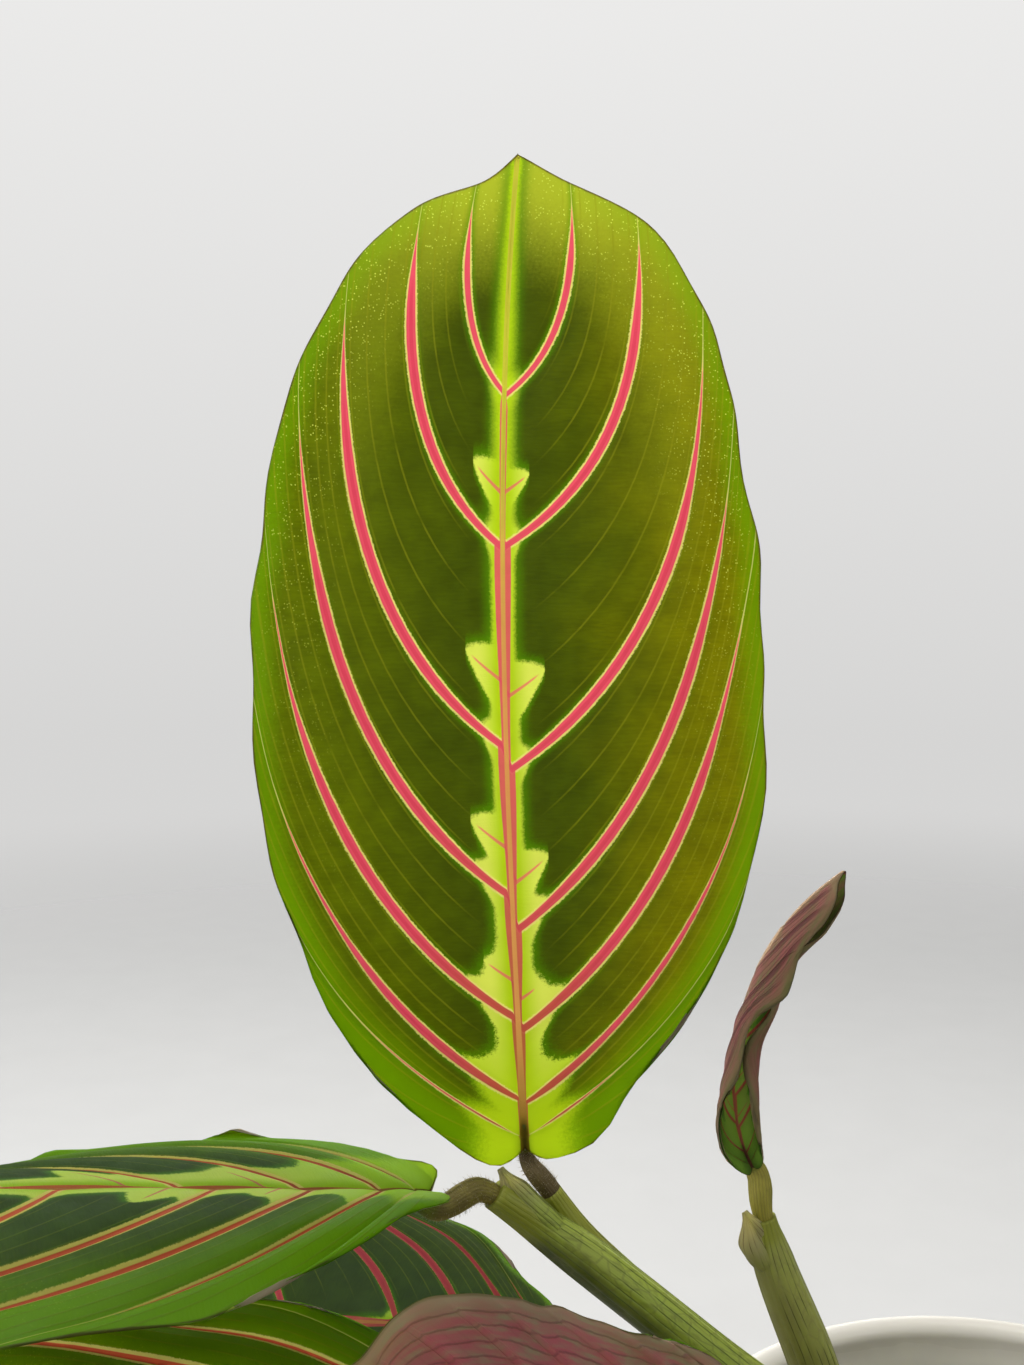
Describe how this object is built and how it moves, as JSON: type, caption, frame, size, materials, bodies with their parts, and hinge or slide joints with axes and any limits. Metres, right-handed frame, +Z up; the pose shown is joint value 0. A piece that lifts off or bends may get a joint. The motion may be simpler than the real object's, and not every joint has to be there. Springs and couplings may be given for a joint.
{
  "type": "potted prayer plant",
  "caption": "A low leafy houseplant in a small round glazed pot: broad oval blades with arched side veins, held on swollen joints by sheathed stems that stand in potting soil",
  "frame": {"origin": "centre of the pot's flat base, on the surface that it stands on", "axes": "+Z up along the pot's axis; +X to the right and +Y away from the viewer in the picture"},
  "size_m": [0.3065, 0.2526, 0.2789],
  "materials": {
    "pot": "gloss",
    "soil": "matte",
    "leaf": "satin",
    "young_leaf": "satin",
    "pulvinus": "matte",
    "stem": "satin"
  },
  "bodies": {
    "root": {"pot": "pot", "potting_soil": "soil", "stem_1": "stem", "stem_2": "stem", "stem_3": "stem", "stem_4": "stem", "stem_5": "stem", "stem_6": "stem", "stem_7": "stem", "stem_8": "stem", "stem_9": "stem", "stem_10": "stem", "leaf_a": "leaf", "leaf_b": "leaf", "leaf_c": "leaf", "leaf_d": "leaf", "leaf_e": "leaf", "leaf_f": "young_leaf", "leaf_g": "leaf", "leaf_h": "leaf", "leaf_i": "leaf", "leaf_j": "leaf", "leaf_k": "leaf", "leaf_l": "leaf", "leaf_m": "leaf", "leaf_n": "leaf", "pulvinus_a": "pulvinus", "pulvinus_b": "pulvinus", "pulvinus_c": "pulvinus", "pulvinus_d": "pulvinus", "pulvinus_e": "pulvinus", "pulvinus_f": "pulvinus", "pulvinus_g": "pulvinus", "pulvinus_h": "pulvinus", "pulvinus_i": "pulvinus", "pulvinus_j": "pulvinus", "pulvinus_k": "pulvinus", "pulvinus_l": "pulvinus", "pulvinus_m": "pulvinus", "pulvinus_n": "pulvinus"}
  },
  "joints": []
}
